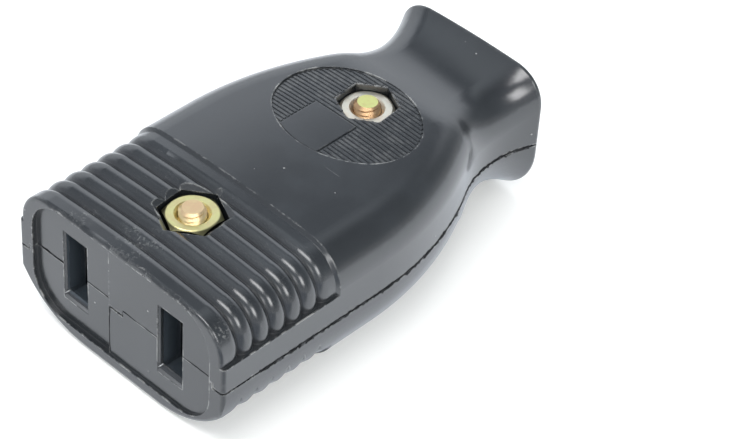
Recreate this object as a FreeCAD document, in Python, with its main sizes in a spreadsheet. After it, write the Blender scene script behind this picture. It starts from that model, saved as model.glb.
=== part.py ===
import FreeCAD, Part
import math
import os
from collections import namedtuple
import Sketcher

# Inline two-pole connector for the end of a cord, in millimetres. X runs across the two blades,
# +Y from the blade face to the cord end, +Z up. Pieces are drawn about the blade face (Y = 0) and
# the plane through the middle of the slots (Z = 0), then set down on the plane that the connector rests on.

sizes = {
    # outline seen from above, from the blade face to the flared cord end
    "body_length": 45.7,
    "body_width": 26.75,
    "shoulder_radius": 32.0,
    "neck_radius": 11.3,
    "waist_width": 16.0,
    "waist_back": 5.2,
    # outline seen from the side
    "upper_height": 7.2,
    "lower_height": 8.0,
    "crown_radius": 135.0,
    "fall_back": 12.7,
    "fall_radius": 9.0,
    "sway_radius": 12.5,
    "upper_neck_drop": 1.05,
    "lower_neck_drop": 1.3,
    "upper_edge_radius": 4.0,
    "lower_edge_radius": 6.5,
    "front_edge_radius": 0.4,
    "end_edge_radius": 0.3,
    # reeded grip behind the blade face
    "grip_relief": 0.3,
    "reed_pitch": 1.925,
    "reed_depth": 0.52,
    "first_groove": 2.3,
    "groove_count": 6,
    "grip_land": 0.9,
    "step_run": 0.3,
    "ledge_drop": 0.6,
    "lower_grip_radius": 10.2,
    "lower_grip_reach": 1.75,
    # joint between the shells
    "rim_width": 1.3,
    "skirt_drop": 0.7,
    "skirt_gap": 0.2,
    "tongue_clearance": 0.05,
    # blade face
    "field_width": 23.2,
    "field_height": 12.75,
    "field_depth": 0.3,
    "field_radius": 4.0,
    "pane_step": 0.25,
    "bar_left": 1.65,
    "bar_right": 0.2,
    "slot_pitch": 12.7,
    "slot_width": 3.2,
    "slot_height": 8.0,
    # hollows
    "front_wall": 1.85,
    "side_wall": 2.2,
    "roof": 3.2,
    "web_width": 1.6,
    "boss_radius": 3.4,
    "tab_level": 2.4,
    "cord_radius": 3.2,
    "cord_lift": 0.05,
    "cord_grip_length": 5.0,
    "mouth_length": 3.6,
    "mouth_flare": 1.4,
    "channel_step": 1.0,
    "channel_overlap": 0.5,
    # oval medallion sunk in the upper shell
    "medallion_half_width": 7.65,
    "medallion_half_length": 6.25,
    "medallion_depth": 0.2,
    "medallion_bend": 0.6,
    "medallion_ahead": 2.7,
    # housing screws and nuts
    "front_screw_y": 8.8,
    "rear_screw_back": 14.8,
    "screw_diameter": 2.6,
    "screw_clearance": 0.15,
    "thread_clearance": 0.05,
    "screw_stand": 0.7,
    "screw_chamfer": 0.3,
    "head_diameter": 4.8,
    "head_height": 1.7,
    "head_chamfer": 0.4,
    "head_recess": 2.4,
    "head_clearance": 0.3,
    "drive_width": 0.7,
    "drive_depth": 0.8,
    "nut_width": 5.0,
    "nut_height": 2.0,
    "nut_face": 0.15,
    "nut_slope": 30.0,
    "nut_sink": 0.36,
    "nut_turn": 35.0,
    "nut_pocket": 2.8,
    "front_nut_clearance": 0.35,
    "rear_nut_clearance": 0.1,
    "front_bevel": 0.5,
    "rear_bevel": 0.1,
    "bevel_slope": 45.0,
    # contacts and terminals
    "strip": 0.8,
    "blade_gap": 1.1,
    "lead_in": 0.5,
    "lead_length": 1.6,
    "contact_setback": 1.2,
    "contact_clearance": 0.3,
    "tab_clearance": 0.4,
    "tab_overhang": 3.7,
    "terminal_setback": 4.2,
    "terminal_diameter": 3.5,
    "terminal_head": 6.0,
    "terminal_head_height": 2.0,
    "terminal_cover": 1.5,
    "burr_wall": 0.6,
    "burr_height": 1.0,
    "washer_diameter": 6.4,
    "washer_height": 0.7,
    # how far cutters run past the body
    "overrun": 1.0,
}

doc = FreeCAD.newDocument("inline_connector")


class Size:
    """A number kept together with the sheet formula that gives it."""

    def __init__(self, value, formula):
        self.value = value
        self.formula = formula

    def __add__(self, other):
        other = as_size(other)
        return Size(self.value + other.value, f"({self.formula} + {other.formula})")

    def __sub__(self, other):
        other = as_size(other)
        return Size(self.value - other.value, f"({self.formula} - {other.formula})")

    def __mul__(self, other):
        other = as_size(other)
        return Size(self.value * other.value, f"({self.formula} * {other.formula})")

    def __truediv__(self, other):
        other = as_size(other)
        return Size(self.value / other.value, f"({self.formula} / {other.formula})")

    def __neg__(self):
        return Size(-self.value, f"(0 - {self.formula})")


def as_size(item):
    if isinstance(item, Size):
        return item
    return Size(float(item), repr(float(item)))


def root(size):
    return Size(math.sqrt(size.value), f"sqrt({size.formula})")


def cosine(degrees):
    return Size(math.cos(math.radians(degrees.value)), f"cos({degrees.formula} * 1 deg)")


def sine(degrees):
    return Size(math.sin(math.radians(degrees.value)), f"sin({degrees.formula} * 1 deg)")


def leg(long_side, short_side):
    """Third side of a right triangle."""
    return root(long_side * long_side - short_side * short_side)


class Sheet:
    """A spreadsheet whose aliased cells are read back as sizes."""

    def __init__(self, name):
        self.name = name
        self.cells = doc.addObject("Spreadsheet::Sheet", name)
        self.row = 0

    def put(self, alias, value, text):
        self.row += 1
        self.cells.set(f"A{self.row}", alias)
        self.cells.set(f"B{self.row}", text)
        self.cells.setAlias(f"B{self.row}", alias)
        return Size(value, f"{self.name}.{alias}")


nil = as_size(0)
# places closer together than this count as one
near = 0.01
driving = Sheet("dims")
worked = Sheet("fits")
dim = {alias: driving.put(alias, float(value), repr(value)) for alias, value in sizes.items()}
doc.recompute()


def derive(alias, size):
    """Keep a size that follows from others in the second sheet."""
    dim[alias] = worked.put(alias, size.value, "=" + size.formula)


groove_count = sizes["groove_count"]

# outline seen from above
derive("half_width", dim["body_width"] / 2)
derive("waist_y", dim["body_length"] - dim["waist_back"])
derive("shoulder_x", dim["half_width"] - dim["shoulder_radius"])
derive("neck_x", dim["waist_width"] / 2 + dim["neck_radius"])
derive("bend_sum", dim["shoulder_radius"] + dim["neck_radius"])
derive("shoulder_run", leg(dim["bend_sum"], dim["neck_x"] - dim["shoulder_x"]))
derive("shoulder_y", dim["waist_y"] - dim["shoulder_run"])

# outline seen from the side
derive("fall_y", dim["body_length"] - dim["fall_back"])
derive("fall_sum", dim["fall_radius"] + dim["sway_radius"])
derive("upper_sway_run", leg(dim["fall_sum"], dim["fall_sum"] - dim["upper_neck_drop"]))
derive("lower_sway_run", leg(dim["fall_sum"], dim["fall_sum"] - dim["lower_neck_drop"]))

# rounded long edges, and the grip that lies a little inside them
derive("edge_x", dim["half_width"] - dim["upper_edge_radius"])
derive("crown_z", dim["upper_height"] - dim["crown_radius"])
derive("crown_to_edge", dim["crown_radius"] - dim["upper_edge_radius"])
derive("crowned_edge_z", dim["crown_z"] + leg(dim["crown_to_edge"], dim["edge_x"]))
derive("ledge", dim["crowned_edge_z"] - dim["ledge_drop"])
derive("grip_x", dim["half_width"] - dim["grip_relief"])
derive("grip_edge_radius", dim["upper_edge_radius"] - dim["grip_relief"])
derive("lower_grip_x", dim["half_width"] + dim["lower_grip_reach"])
derive("lower_grip_z", dim["lower_height"] - dim["grip_relief"])
derive("grip_crown_radius", dim["crown_radius"] - dim["grip_relief"])
derive("half_pitch", dim["reed_pitch"] / 2)
derive(
    "reed_radius",
    (dim["half_pitch"] * dim["half_pitch"] + dim["reed_depth"] * dim["reed_depth"])
    / (dim["reed_depth"] * 2),
)
derive("last_groove", dim["first_groove"] + dim["reed_pitch"] * (groove_count - 1))
derive("step_foot", dim["last_groove"] + dim["half_pitch"] + dim["grip_land"])
derive("step_top", dim["step_foot"] + dim["step_run"])

# blade face
derive("field_x", dim["field_width"] / 2)
derive("field_z", dim["field_height"] / 2)
derive("slot_x", dim["slot_pitch"] / 2)
derive("skirt_end", dim["skirt_drop"] - dim["skirt_gap"])

# hollows, worked forward from the screw boss at the waist
derive("cavity", dim["upper_height"] - dim["roof"])
derive("rear_screw_y", dim["body_length"] - dim["rear_screw_back"])
derive("tab_end", dim["rear_screw_y"] - dim["boss_radius"] - dim["tab_clearance"])
derive("terminal_y", dim["tab_end"] - dim["tab_overhang"])
derive("chamber_end", dim["terminal_y"] - dim["terminal_setback"])
derive("bay_shoulder_radius", dim["shoulder_radius"] - dim["side_wall"])
derive("bay_end", dim["shoulder_y"] + dim["shoulder_run"] * dim["bay_shoulder_radius"] / dim["bend_sum"])
derive("grip_end", dim["body_length"] - dim["mouth_length"])
derive("grip_start", dim["grip_end"] - dim["cord_grip_length"])
derive("channel_radius", dim["cord_radius"] + dim["channel_step"])
derive("mouth_radius", dim["cord_radius"] + dim["mouth_flare"])
derive(
    "mouth_bend",
    (dim["mouth_flare"] * dim["mouth_flare"] + dim["mouth_length"] * dim["mouth_length"])
    / (dim["mouth_flare"] * 2),
)

# oval medallion: tighter arcs at its two sides, flatter arcs fore and aft
derive("oval_spread", dim["medallion_half_width"] - dim["medallion_half_length"])
derive("oval_side_radius", dim["medallion_half_length"] - dim["oval_spread"] * dim["medallion_bend"])
derive("oval_side_x", dim["medallion_half_width"] - dim["oval_side_radius"])
derive(
    "oval_long_radius",
    (dim["oval_side_x"] * dim["oval_side_x"] + dim["medallion_half_length"] * dim["medallion_half_length"]
     - dim["oval_side_radius"] * dim["oval_side_radius"])
    / ((dim["medallion_half_length"] - dim["oval_side_radius"]) * 2),
)
derive("medallion_y", dim["rear_screw_y"] - dim["medallion_ahead"])

# contacts and terminals
derive("contact_half", dim["blade_gap"] / 2 + dim["strip"])
derive("chamber_half", dim["contact_half"] + dim["lead_in"] + dim["contact_clearance"])
derive("contact_front", dim["front_wall"] + dim["contact_setback"])
derive("contact_back", dim["chamber_end"] - dim["contact_clearance"])
derive("bend_y", dim["contact_back"] - dim["contact_half"])
derive("web_half", dim["web_width"] / 2)


def bay_side(y):
    """Half-width of the terminal bay on its curved stretch."""
    return dim["shoulder_x"] + leg(dim["bay_shoulder_radius"], y - dim["shoulder_y"])


derive("tab_outer", bay_side(dim["tab_end"]) - dim["tab_clearance"])
derive("tab_inner", dim["web_half"] + dim["tab_clearance"])
derive("terminal_x", (bay_side(dim["terminal_y"]) + dim["web_half"]) / 2)
derive("tab_top", dim["strip"] - dim["tab_level"])
derive("washer_top", dim["tab_top"] + dim["washer_height"])
derive("terminal_tip", dim["terminal_cover"] - dim["lower_height"])
derive("burr_radius", dim["terminal_diameter"] / 2 + dim["burr_wall"])

# housing screws
derive("head_seat", dim["head_recess"] - dim["lower_height"])
derive("nut_floor", dim["upper_height"] - dim["nut_pocket"])
derive("nut_top", dim["nut_floor"] + dim["nut_height"])
derive("screw_tip", dim["nut_top"] + dim["screw_stand"])
derive("screw_hole", dim["screw_diameter"] / 2 + dim["screw_clearance"])
derive("nut_hole", dim["screw_diameter"] / 2 + dim["thread_clearance"])
doc.recompute()

Step = namedtuple("Step", "end radius turn")


def line(x, y):
    return Step((as_size(x), as_size(y)), None, 0)


def arc(x, y, radius, turn):
    """Arc of less than half a circle; turn is 1 to the left of travel and -1 to the right."""
    return Step((as_size(x), as_size(y)), radius, turn)


def arc_edge(here, there, step):
    start = FreeCAD.Vector(here[0].value, here[1].value, 0)
    end = FreeCAD.Vector(there[0].value, there[1].value, 0)
    chord = end - start
    reach = math.sqrt(step.radius.value ** 2 - (chord.Length / 2) ** 2)
    left = FreeCAD.Vector(-chord.y, chord.x, 0).normalize()
    centre = (start + end) / 2 + left * (reach * step.turn)
    if step.turn < 0:
        start, end = end, start
    angles = [math.atan2(point.y - centre.y, point.x - centre.x) for point in (start, end)]
    if angles[1] < angles[0]:
        angles[1] += 2 * math.pi
    circle = Part.Circle(centre, FreeCAD.Vector(0, 0, 1), step.radius.value)
    return Part.ArcOfCircle(circle, angles[0], angles[1])


def sketch_on(body, name, role, lift=None):
    """Sketch on one of the body's origin planes, moved along the plane's normal by lift."""
    sketch = body.newObject("Sketcher::SketchObject", f"{body.Label}_{name}")
    plane = next(item for item in body.Origin.OriginFeatures if item.Role == role)
    sketch.AttachmentSupport = (plane, [""])
    sketch.MapMode = "FlatFace"
    if lift is not None:
        sketch.AttachmentOffset = FreeCAD.Placement(FreeCAD.Vector(0, 0, lift.value), FreeCAD.Rotation())
        sketch.setExpression("AttachmentOffset.Base.z", lift.formula)
    return sketch


def hold(sketch, constraint, size):
    row = sketch.addConstraint(constraint)
    sketch.setExpression(f"Constraints[{row}]", size.formula)


def pin(sketch, edge, corner, point):
    """Hold a corner at its distances from the sketch's origin."""
    for kind, axis, size in (("DistanceX", -2, point[0]), ("DistanceY", -1, point[1])):
        if size.formula == nil.formula:
            sketch.addConstraint(Sketcher.Constraint("PointOnObject", edge, corner, axis))
        else:
            hold(sketch, Sketcher.Constraint(kind, -1, 1, edge, corner, size.value), size)


def trace(sketch, start, steps, closed=True):
    """Draw a chain of lines and arcs with every corner and every radius held."""
    here = (as_size(start[0]), as_size(start[1]))
    first = here
    before = None
    opening = None
    for step in steps:
        if step.radius is None:
            ends = [FreeCAD.Vector(point[0].value, point[1].value, 0) for point in (here, step.end)]
            edge = sketch.addGeometry(Part.LineSegment(*ends))
        else:
            edge = sketch.addGeometry(arc_edge(here, step.end, step))
            hold(sketch, Sketcher.Constraint("Radius", edge, step.radius.value), step.radius)
        tail, tip = (2, 1) if step.turn < 0 else (1, 2)
        if before is None:
            opening = (edge, tail)
            pin(sketch, edge, tail, first)
        else:
            sketch.addConstraint(Sketcher.Constraint("Coincident", *before, edge, tail))
        if closed and step is steps[-1]:
            sketch.addConstraint(Sketcher.Constraint("Coincident", edge, tip, *opening))
        else:
            pin(sketch, edge, tip, step.end)
        before = (edge, tip)
        here = step.end


def ring(sketch, x, y, radius):
    """Draw a circle held at its centre."""
    centre = FreeCAD.Vector(x.value, y.value, 0)
    edge = sketch.addGeometry(Part.Circle(centre, FreeCAD.Vector(0, 0, 1), radius.value))
    pin(sketch, edge, 3, (x, y))
    hold(sketch, Sketcher.Constraint("Radius", edge, radius.value), radius)


def box(sketch, left, low, right, high):
    """Draw a rectangle from two corners."""
    trace(sketch, (left, low), [line(right, low), line(right, high), line(left, high), line(left, low)])


def hexagon(sketch, y, across):
    """Draw a hexagon on the middle line, turned as the nuts stand."""
    reach = across / math.sqrt(3)
    turns = [dim["nut_turn"] + 60 * number for number in range(6)]
    corners = [(reach * cosine(turn), y + reach * sine(turn)) for turn in turns]
    trace(sketch, corners[0], [line(*point) for point in corners[1:] + corners[:1]])


def bind(item, name, size):
    setattr(item, name, size.value)
    item.setExpression(name, size.formula)


def new_body(label):
    body = doc.addObject("PartDesign::Body", label)
    body.Label = label
    return body


def finish_step(body, item, grows):
    """Recompute and make sure that the step changed the solid the way it should."""
    before = item.BaseFeature.Shape.Volume if item.BaseFeature else 0.0
    doc.recompute()
    change = item.Shape.Volume - before
    if change == 0 or (change > 0) != grows:
        raise RuntimeError(f"{item.Name} changed the volume by {change}")
    return item


def pad(body, sketch, length, back=False):
    """Extrude along the sketch's normal, or against it."""
    item = body.newObject("PartDesign::Pad", f"{sketch.Name}_pad")
    item.Profile = sketch
    bind(item, "Length", length)
    item.Reversed = back
    return finish_step(body, item, True)


def pocket(body, sketch, depth, along=False, taper=nil):
    """Cut against the sketch's normal, or along it, widening by the taper in degrees."""
    item = body.newObject("PartDesign::Pocket", f"{sketch.Name}_pocket")
    item.Profile = sketch
    bind(item, "Length", depth)
    item.Reversed = along
    bind(item, "TaperAngle", taper)
    return finish_step(body, item, False)


def sweep_cut(body, profile, path):
    item = body.newObject("PartDesign::SubtractivePipe", f"{profile.Name}_sweep")
    item.Profile = profile
    item.Spine = path
    return finish_step(body, item, False)


def turned(body, kind, sketch, axis, grows):
    item = body.newObject(f"PartDesign::{kind}", f"{sketch.Name}_turned")
    item.Profile = sketch
    item.ReferenceAxis = (sketch, [axis])
    item.Angle = 360
    return finish_step(body, item, grows)


def blend(body, kind, name, size, wanted):
    """Round or bevel the edges of the tip that the test picks by their bounding boxes."""
    base = body.Tip
    names = [f"Edge{n}" for n, edge in enumerate(base.Shape.Edges, 1) if wanted(edge.BoundBox)]
    item = body.newObject(f"PartDesign::{kind}", f"{body.Label}_{name}")
    item.Base = (base, names)
    bind(item, "Radius" if kind == "Fillet" else "Size", size)
    return finish_step(body, item, False)


def place(body, x, y, z):
    for axis, size in zip("xyz", (x, y, z)):
        body.setExpression(f"Placement.Base.{axis}", size.formula)


def set_down(body, x=nil, y=nil):
    """Move a piece from the blade face and the slots' middle to the frame on the resting plane."""
    place(body, x, y - dim["body_length"] / 2, dim["lower_height"])


def plan_outline(sketch, inset, front, back):
    """Closed outline seen from above: straight sides, convex shoulders, hollow neck, flared end."""
    side = dim["half_width"] - inset
    shoulder = dim["shoulder_radius"] - inset
    neck = dim["neck_radius"] + inset
    share = shoulder / dim["bend_sum"]
    bend_x = dim["shoulder_x"] + (dim["neck_x"] - dim["shoulder_x"]) * share
    bend_y = dim["shoulder_y"] + dim["shoulder_run"] * share
    end_x = dim["neck_x"] - leg(neck, back - dim["waist_y"])
    trace(sketch, (-side, front), [
        line(side, front),
        line(side, dim["shoulder_y"]),
        arc(bend_x, bend_y, shoulder, 1),
        arc(end_x, back, neck, -1),
        line(-end_x, back),
        arc(-bend_x, bend_y, neck, -1),
        arc(-side, dim["shoulder_y"], shoulder, 1),
        line(-side, front),
    ])


def cut_back_profile(body, up):
    """Hollow the top or bottom towards the neck, crowned across on the upper shell only."""
    over = dim["overrun"]
    half = "upper" if up > 0 else "lower"
    height = dim[f"{half}_height"]
    drop = dim[f"{half}_neck_drop"]
    neck_y = dim["fall_y"] + dim[f"{half}_sway_run"]
    share = dim["fall_radius"] / dim["fall_sum"]
    bend_y = dim["fall_y"] + dim[f"{half}_sway_run"] * share
    end_y = dim["body_length"] + over
    end_z = height - drop + dim["sway_radius"] - leg(dim["sway_radius"], end_y - neck_y)
    path = sketch_on(body, "back_path", "YZ_Plane")
    trace(path, (-over, height * up), [
        line(dim["fall_y"], height * up),
        arc(bend_y, (height - drop * share) * up, dim["fall_radius"], -up),
        arc(end_y, end_z * up, dim["sway_radius"], up),
    ], closed=False)
    side = dim["half_width"] + over
    high = (height + drop + over * 2) * up
    profile = sketch_on(body, "back_profile", "XZ_Plane", over)
    if up > 0:
        low = dim["crown_z"] + leg(dim["crown_radius"], side)
        across = arc(-side, low, dim["crown_radius"], 1)
    else:
        low = -height
        across = line(-side, low)
    trace(profile, (side, low), [across, line(-side, high), line(side, high), line(side, low)])
    sweep_cut(body, profile, path)


def cut_grip(body, up):
    """Sweep one row of reeds up one side, round the edge, across and down the other side.

    On the upper shell the reeds end at a ledge; on the lower shell they run out in the rounder edge.
    """
    if up > 0:
        x = dim["grip_x"]
        round_edge = dim["grip_edge_radius"]
        edge_z = dim["crowned_edge_z"]
        share = dim["grip_crown_radius"] / dim["crown_to_edge"]
        turn_x = dim["edge_x"] * share
        turn_z = dim["crown_z"] + (dim["crowned_edge_z"] - dim["crown_z"]) * share
        across = arc(-turn_x, turn_z, dim["grip_crown_radius"], 1)
    else:
        x = dim["lower_grip_x"]
        round_edge = dim["lower_grip_radius"]
        edge_z = dim["lower_grip_z"] - round_edge
        turn_x = x - round_edge
        turn_z = dim["lower_grip_z"]
        across = line(-turn_x, -turn_z)
    start_z = edge_z - dim["ledge_drop"]
    path = sketch_on(body, "grip_path", "XZ_Plane")
    trace(path, (x, start_z * up), [
        line(x, edge_z * up),
        arc(turn_x, turn_z * up, round_edge, up),
        across,
        arc(-x, edge_z * up, round_edge, up),
        line(-x, start_z * up),
    ], closed=False)

    front = dim["front_edge_radius"]
    floor = x - dim["reed_depth"]
    ahead = -dim["overrun"]
    outside = x + dim["overrun"]
    reeds = [arc(floor, dim["first_groove"], dim["reed_radius"], 1)]
    for number in range(1, groove_count):
        groove_y = dim["first_groove"] + dim["reed_pitch"] * number
        reeds.append(arc(floor, groove_y, dim["reed_radius"], 1))
    profile = sketch_on(body, "grip_profile", "XY_Plane", start_z * up)
    trace(profile, (x - front, ahead), [
        line(x - front, nil),
        arc(x, front, front, 1),
        line(x, dim["first_groove"] - dim["half_pitch"]),
        *reeds,
        arc(x, dim["last_groove"] + dim["half_pitch"], dim["reed_radius"], 1),
        line(x, dim["step_foot"]),
        line(x + dim["grip_relief"], dim["step_top"]),
        line(outside, dim["step_top"]),
        line(outside, ahead),
        line(x - front, ahead),
    ])
    sweep_cut(body, profile, path)


def round_belt(body, up):
    """Round the upright front corners of the plain belt beside the joint."""
    over = dim["overrun"]
    front = dim["front_edge_radius"]
    corners = sketch_on(body, "belt_corners", "XY_Plane", dim["ledge"] if up > 0 else nil)
    for side in (-1, 1):
        inner = (dim["half_width"] - front) * side
        outer = (dim["half_width"] + over) * side
        trace(corners, (inner, nil), [
            arc(dim["half_width"] * side, front, front, side),
            line(outer, front),
            line(outer, -over),
            line(inner, -over),
            line(inner, nil),
        ])
    pocket(body, corners, dim["ledge"] + over if up > 0 else dim["lower_height"] / 2)


def shell_form(label, up):
    """Outer form of one shell, from its parting face to its back."""
    body = new_body(label)
    half = "upper" if up > 0 else "lower"
    height = dim[f"{half}_height"] + dim["overrun"]
    outline = sketch_on(body, "outline", "XY_Plane", -dim["skirt_end"] if up > 0 else nil)
    plan_outline(outline, nil, nil, dim["body_length"])
    if up > 0:
        pad(body, outline, height + dim["skirt_end"])
    else:
        pad(body, outline, height, back=True)
    cut_back_profile(body, up)
    middle = sizes[f"{half}_height"] / 2
    end = sizes["body_length"]
    blend(body, "Fillet", "long_edges", dim[f"{half}_edge_radius"],
          lambda b: b.XMin * b.XMax > 0 and b.YLength > near and b.Center.z * up > middle)
    cut_grip(body, up)
    round_belt(body, up)
    blend(body, "Fillet", "end_edges", dim["end_edge_radius"],
          lambda b: b.YMin > end - near and b.ZMax * up + b.ZMin * up > 2 * near and b.ZLength > near)
    return body


def cut_slots_and_chambers(body, up):
    """Blade slots through the front wall, and the chamber of each contact behind it."""
    over = dim["overrun"]
    half = dim["slot_width"] / 2
    slots = sketch_on(body, "slots", "XZ_Plane")
    chambers = sketch_on(body, "chambers", "XY_Plane", nil)
    for side in (-1, 1):
        middle = dim["slot_x"] * side
        box(slots, middle - half, -over * up, middle + half, dim["slot_height"] / 2 * up)
        box(chambers, middle - dim["chamber_half"], dim["front_wall"],
            middle + dim["chamber_half"], dim["chamber_end"] + over)
    pocket(body, slots, dim["front_wall"] + over)
    pocket(body, chambers, dim["cavity"], along=up > 0)


def cut_bay(body, up, depth):
    """Terminal bay inside the shoulders, with a web between the poles and a boss for the screw."""
    share = dim["bay_shoulder_radius"] / dim["bend_sum"]
    start_x = bay_side(dim["chamber_end"])
    end_x = dim["shoulder_x"] + (dim["neck_x"] - dim["shoulder_x"]) * share
    bay = sketch_on(body, "bay", "XY_Plane")
    trace(bay, (-start_x, dim["chamber_end"]), [
        line(start_x, dim["chamber_end"]),
        arc(end_x, dim["bay_end"], dim["bay_shoulder_radius"], 1),
        line(-end_x, dim["bay_end"]),
        arc(-start_x, dim["chamber_end"], dim["bay_shoulder_radius"], 1),
    ])
    pocket(body, bay, depth, along=up > 0)
    web = sketch_on(body, "web", "XY_Plane")
    box(web, -dim["web_half"], dim["chamber_end"], dim["web_half"], dim["rear_screw_y"])
    pad(body, web, depth, back=up < 0)
    boss = sketch_on(body, "boss", "XY_Plane")
    ring(boss, nil, dim["rear_screw_y"], dim["boss_radius"])
    pad(body, boss, depth, back=up < 0)


def cut_cord_passage(body):
    """Turned passage for the cord: channel, gripping land and bell mouth.

    Its axis is a hair above the parting plane, so the lower half takes the cord without an undercut.
    """
    over = dim["overrun"]
    start = dim["bay_end"] - dim["channel_overlap"]
    past = dim["body_length"] + over
    passage = sketch_on(body, "passage", "XY_Plane", dim["cord_lift"])
    trace(passage, (nil, start), [
        line(dim["channel_radius"], start),
        line(dim["channel_radius"], dim["grip_start"]),
        line(dim["cord_radius"], dim["grip_start"]),
        line(dim["cord_radius"], dim["grip_end"]),
        arc(dim["mouth_radius"], dim["body_length"], dim["mouth_bend"], -1),
        line(dim["mouth_radius"], past),
        line(nil, past),
        line(nil, start),
    ])
    turned(body, "Groove", passage, "V_Axis", False)


def cut_screw_holes(body, up):
    holes = sketch_on(body, "screw_holes", "XY_Plane", dim["overrun"] * -up)
    for y in (dim["front_screw_y"], dim["rear_screw_y"]):
        ring(holes, nil, y, dim["screw_hole"])
    depth = dim["upper_height"] if up > 0 else dim["lower_height"]
    pocket(body, holes, depth + dim["overrun"] * 2, along=up > 0)


def cut_medallion(body):
    """Sink an oval into the crowned top with a plug whose underside follows the crown."""
    over = dim["overrun"]
    plug = new_body("medallion_plug")
    share = dim["oval_long_radius"] / (dim["oval_long_radius"] - dim["oval_side_radius"])
    drop = dim["oval_long_radius"] - dim["medallion_half_length"]
    x = dim["oval_side_x"] * share
    rise = drop * share - drop
    middle = dim["medallion_y"]
    oval = sketch_on(plug, "oval", "XY_Plane", dim["upper_height"] - over)
    trace(oval, (x, middle - rise), [
        arc(x, middle + rise, dim["oval_side_radius"], 1),
        arc(-x, middle + rise, dim["oval_long_radius"], 1),
        arc(-x, middle - rise, dim["oval_side_radius"], 1),
        arc(x, middle - rise, dim["oval_long_radius"], 1),
    ])
    pad(plug, oval, over * 2)
    length = (dim["medallion_half_length"] + over) * 2
    side = dim["half_width"]
    crown = dim["crown_radius"] - dim["medallion_depth"]
    edge = dim["crown_z"] + leg(crown, side)
    low = dim["upper_height"] - over * 2
    underside = sketch_on(plug, "underside", "XZ_Plane", length / 2 - middle)
    trace(underside, (side, edge), [
        arc(-side, edge, crown, 1), line(-side, low), line(side, low), line(side, edge),
    ])
    pocket(plug, underside, length)
    item = body.newObject("PartDesign::Boolean", "medallion")
    item.Type = "Cut"
    item.setObjects([plug])
    finish_step(body, item, False)


def cut_nut_pockets(body):
    """Hexagon pockets with a bevelled rim, one in the grip and one in the medallion."""
    spots = (
        ("front", dim["front_screw_y"], dim["upper_height"] - dim["grip_relief"]),
        ("rear", dim["rear_screw_y"], dim["upper_height"] - dim["medallion_depth"]),
    )
    for name, y, top in spots:
        across = dim["nut_width"] + dim[f"{name}_nut_clearance"] * 2
        seat = sketch_on(body, f"{name}_pocket", "XY_Plane", dim["nut_floor"])
        hexagon(seat, y, across)
        pocket(body, seat, dim["nut_pocket"] + dim["overrun"], along=True)
        bevel = sketch_on(body, f"{name}_bevel", "XY_Plane", top - dim[f"{name}_bevel"])
        hexagon(bevel, y, across)
        pocket(body, bevel, dim["overrun"], along=True, taper=dim["bevel_slope"])


def make_upper_shell():
    body = shell_form("upper_shell", 1)
    over = dim["overrun"]
    step = sketch_on(body, "tongue_room", "XY_Plane")
    plan_outline(step, dim["rim_width"], -over, dim["body_length"] - dim["rim_width"])
    pocket(body, step, dim["skirt_drop"] + over)

    bar = sketch_on(body, "bar", "XZ_Plane")
    box(bar, -dim["bar_left"], -dim["skirt_end"], dim["bar_right"], over)
    pad(body, bar, dim["rim_width"], back=True)
    x, z, bend = dim["field_x"], dim["field_z"], dim["field_radius"]
    low = -dim["skirt_end"] - over
    right_pane = sketch_on(body, "right_pane", "XZ_Plane")
    trace(right_pane, (-dim["bar_left"], low), [
        line(x, low), line(x, z - bend), arc(x - bend, z, bend, 1),
        line(-dim["bar_left"], z), line(-dim["bar_left"], low),
    ])
    pocket(body, right_pane, dim["field_depth"])
    left_pane = sketch_on(body, "left_pane", "XZ_Plane")
    trace(left_pane, (-x, -over), [
        line(-dim["bar_left"], -over), line(-dim["bar_left"], z), line(bend - x, z),
        arc(-x, z - bend, bend, 1), line(-x, -over),
    ])
    pocket(body, left_pane, dim["field_depth"] + dim["pane_step"])

    cut_slots_and_chambers(body, 1)
    cut_bay(body, 1, dim["cavity"])
    cut_cord_passage(body)
    cut_medallion(body)
    cut_screw_holes(body, 1)
    cut_nut_pockets(body)
    set_down(body)
    return body


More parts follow.
